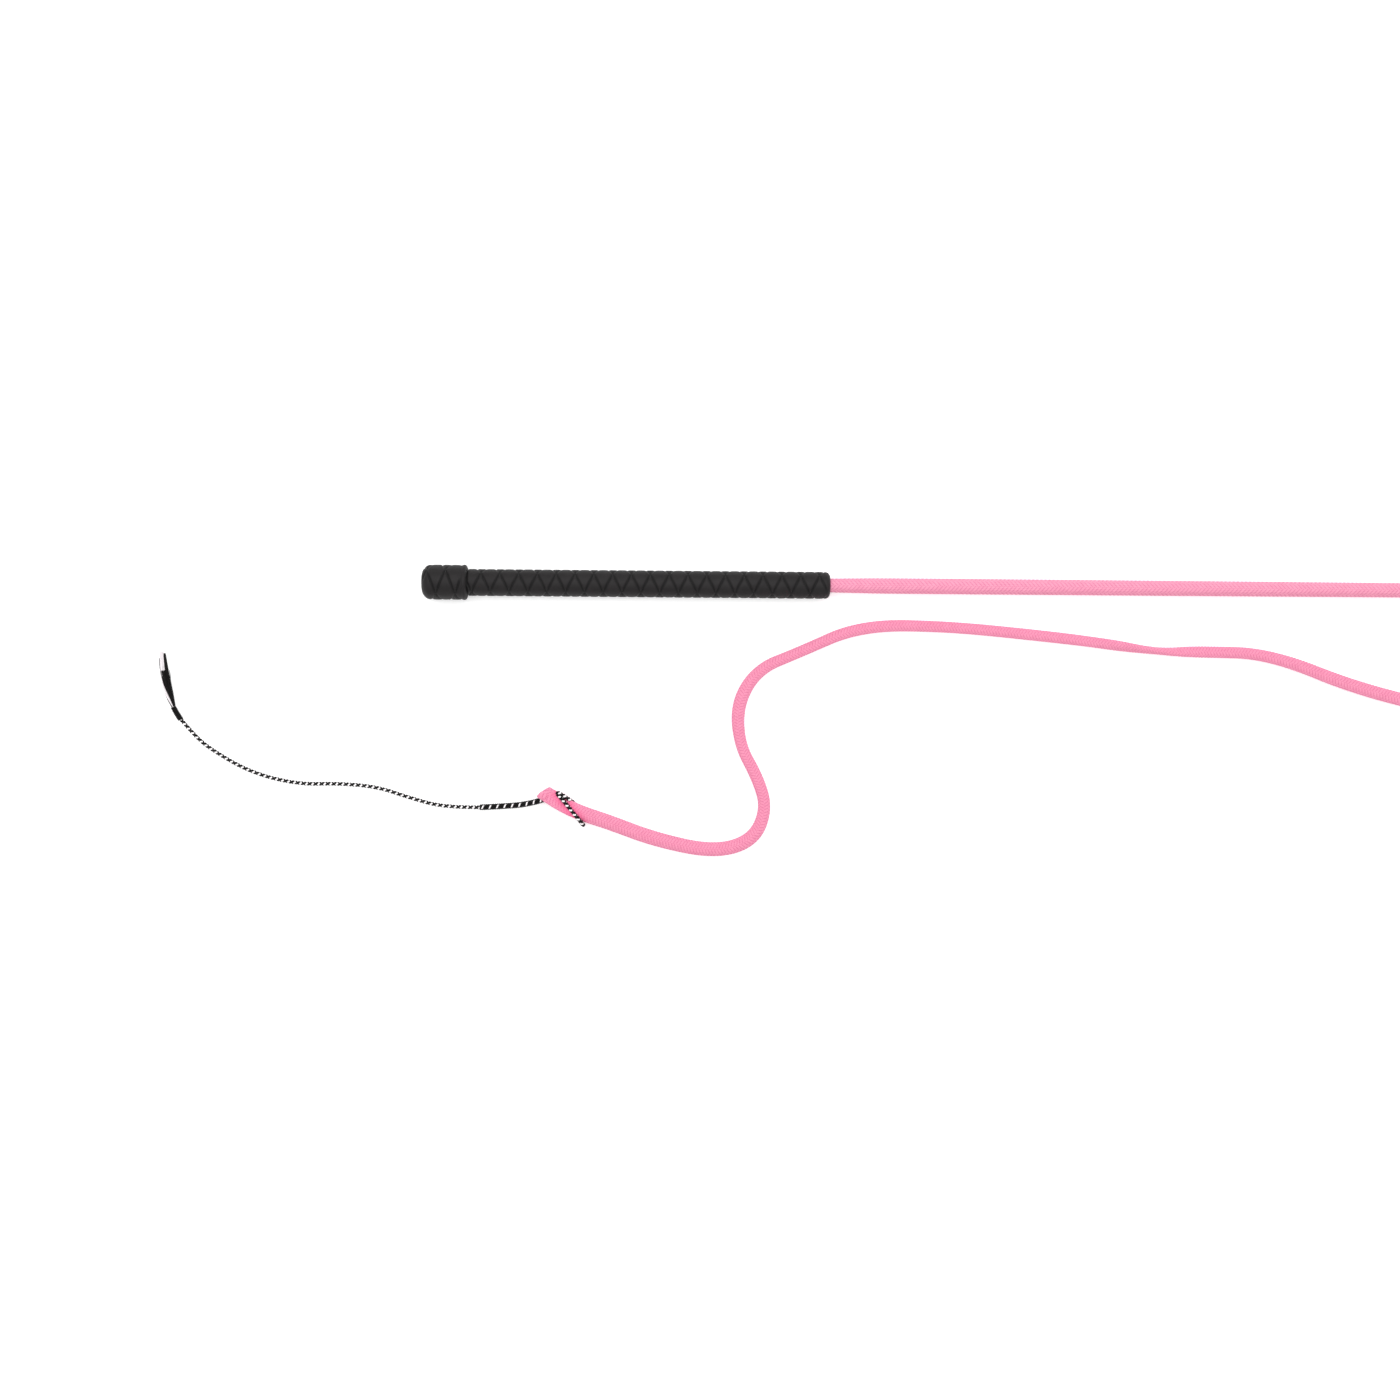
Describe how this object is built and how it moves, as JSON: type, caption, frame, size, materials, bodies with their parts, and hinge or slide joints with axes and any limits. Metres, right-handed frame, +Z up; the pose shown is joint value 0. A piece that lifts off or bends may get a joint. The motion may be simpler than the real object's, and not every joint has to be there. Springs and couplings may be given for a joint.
{
  "type": "lunge whip",
  "caption": "Long lunge whip: tapered rod in a braided cover, moulded rubber grip and butt cap, and a braided lash with an eye, a thin braided cracker and a loose yarn tuft.",
  "frame": {"origin": "on the supporting surface, under the middle of the handle and shaft, on the shaft's axis", "axes": "+X from the butt cap to the tip of the shaft, +Z up from the surface, the lash on the side of -Y"},
  "size_m": [1.8082, 0.1596, 0.0195],
  "materials": {
    "fibreglass": "ground glass-fibre rod",
    "pink_braid": "braided polyester yarn",
    "grip_rubber": "moulded matt rubber",
    "pink_thread": "waxed polyester thread",
    "black_cord": "braided nylon cord with white tracer",
    "black_yarn": "loose nylon filaments",
    "white_yarn": "loose nylon filaments"
  },
  "bodies": {
    "root": {"rod": "fibreglass", "shaft_braid": "pink_braid", "grip_sleeve": "grip_rubber", "butt_cap": "grip_rubber", "tip_whipping": "pink_thread", "lash": "pink_braid", "lash_eye": "pink_braid", "cracker_loop": "black_cord", "cracker_splice": "black_cord", "cracker_cord": "black_cord", "cracker_knot": "black_cord", "tuft_front_black": "black_yarn", "tuft_white": "white_yarn", "tuft_right_black": "black_yarn", "tuft_left_black": "black_yarn"}
  },
  "joints": []
}
